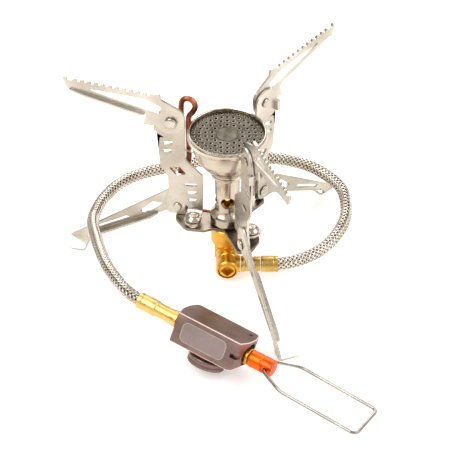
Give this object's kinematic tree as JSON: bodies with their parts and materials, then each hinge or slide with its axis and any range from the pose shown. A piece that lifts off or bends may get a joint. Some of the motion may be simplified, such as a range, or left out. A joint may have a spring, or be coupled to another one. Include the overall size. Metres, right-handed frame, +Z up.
{
  "type": "camping stove",
  "caption": "Folding gas camping stove: a round burner between folding supports with toothed pot arms and hinged legs, joined by a braided hose to a valve block with a knob and wire bail.",
  "frame": {"origin": "on the table, in the middle of the rectangle the stove and its hose and valve cover", "axes": "+Z up along the burner's axis, +X to the right and +Y away from the valve block, seen from the front"},
  "size_m": [0.1544, 0.2064, 0.1055],
  "materials": {
    "satin_steel": "satin punched sheet",
    "bright_steel": "polished",
    "scorched_steel": "heat darkened",
    "brass": "machined",
    "copper": "copper, heat tinted",
    "steel_braid": "woven wire",
    "rubber": "matt black",
    "anodised": "dark anodised",
    "orange_anodised": "orange anodised"
  },
  "bodies": {
    "stove_base": {"base_plate": "satin_steel", "jet_block": "brass", "block_plug": "brass", "jet": "brass", "mixing_tube": "bright_steel", "burner_cup": "bright_steel", "flame_plate": "scorched_steel", "hose_stem": "brass", "burner_ferrule": "brass", "braided_hose": "steel_braid", "hose_liner": "rubber", "valve_ferrule": "brass", "valve_body": "anodised", "canister_collar": "anodised", "collar_seal": "rubber", "canister_pin": "brass", "gland_nut": "brass", "preheat_tube": "copper", "preheat_strap": "satin_steel", "swivel_rivet_left": "bright_steel", "swivel_washer_left": "bright_steel", "swivel_rivet_right": "bright_steel", "swivel_washer_right": "bright_steel", "swivel_rivet_front": "bright_steel", "swivel_washer_front": "bright_steel"},
    "support_left": {"bracket_left": "satin_steel", "arm_rivet_left": "bright_steel", "leg_rivet_left": "bright_steel"},
    "arm_left": {"pot_arm_left": "satin_steel"},
    "leg_left_body": {"leg_left": "satin_steel"},
    "support_right": {"bracket_right": "satin_steel", "arm_rivet_right": "bright_steel", "leg_rivet_right": "bright_steel"},
    "arm_right": {"pot_arm_right": "satin_steel"},
    "leg_right_body": {"leg_right": "satin_steel"},
    "support_front": {"bracket_front": "satin_steel", "arm_rivet_front": "bright_steel", "leg_rivet_front": "bright_steel"},
    "arm_front": {"pot_arm_front": "satin_steel"},
    "leg_front_body": {"leg_front": "satin_steel"},
    "knob": {"control_knob": "orange_anodised"},
    "needle": {"valve_needle": "bright_steel"},
    "bail": {"wire_bail": "bright_steel"}
  },
  "joints": [
    {"name": "swivel_left", "type": "hinge", "parent": "stove_base", "child": "support_left", "pos_m": [-0.01234, 0.02781, 0.028], "axis": [0, 0, 1], "range_deg": [0, 75]},
    {"name": "arm_fold_left", "type": "hinge", "parent": "support_left", "child": "arm_left", "pos_m": [-0.02285, 0.03742, 0.086], "axis": [-0.225, -0.9744, 0], "range_deg": [0, 100]},
    {"name": "leg_fold_left", "type": "hinge", "parent": "support_left", "child": "leg_left_body", "pos_m": [-0.02042, 0.03686, 0.0317], "axis": [-0.225, -0.9744, 0], "range_deg": [-93, 0]},
    {"name": "swivel_right", "type": "hinge", "parent": "stove_base", "child": "support_right", "pos_m": [0.01024, 0.04764, 0.028], "axis": [0, 0, 1], "range_deg": [0, 18]},
    {"name": "arm_fold_right", "type": "hinge", "parent": "support_right", "child": "arm_right", "pos_m": [0.02371, 0.05224, 0.086], "axis": [-0.7466, 0.6652, 0], "range_deg": [0, 100]},
    {"name": "leg_fold_right", "type": "hinge", "parent": "support_right", "child": "leg_right_body", "pos_m": [0.02205, 0.05037, 0.0317], "axis": [-0.7466, 0.6652, 0], "range_deg": [-93, 0]},
    {"name": "swivel_front", "type": "hinge", "parent": "stove_base", "child": "support_front", "pos_m": [0.01683, 0.01835, 0.028], "axis": [0, 0, 1], "range_deg": [0, 45]},
    {"name": "arm_fold_front", "type": "hinge", "parent": "support_front", "child": "arm_front", "pos_m": [0.01444, 0.00431, 0.086], "axis": [0.9409, 0.3387, 0], "range_deg": [0, 100]},
    {"name": "leg_fold_front", "type": "hinge", "parent": "support_front", "child": "leg_front_body", "pos_m": [0.01359, 0.00667, 0.0317], "axis": [0.9409, 0.3387, 0], "range_deg": [-93, 0]},
    {"name": "knob_turn", "type": "hinge", "parent": "stove_base", "child": "knob", "pos_m": [-0.00138, -0.04837, 0.01684], "axis": [0.8424, -0.5264, -0.1149], "range_deg": [0, 720]},
    {"name": "needle_travel", "type": "slide", "parent": "stove_base", "child": "needle", "axis": [0.8424, -0.5264, -0.1149], "range_m": [0, 0.0014]},
    {"name": "bail_fold", "type": "hinge", "parent": "knob", "child": "bail", "pos_m": [0.02473, -0.06469, 0.01328], "axis": [0.5241, 0.8501, -0.052], "range_deg": [-95, 100]}
  ],
  "couplings": [
    {"joint": "needle_travel", "follows": "knob_turn", "m_per_rad": 0.00011141}
  ]
}
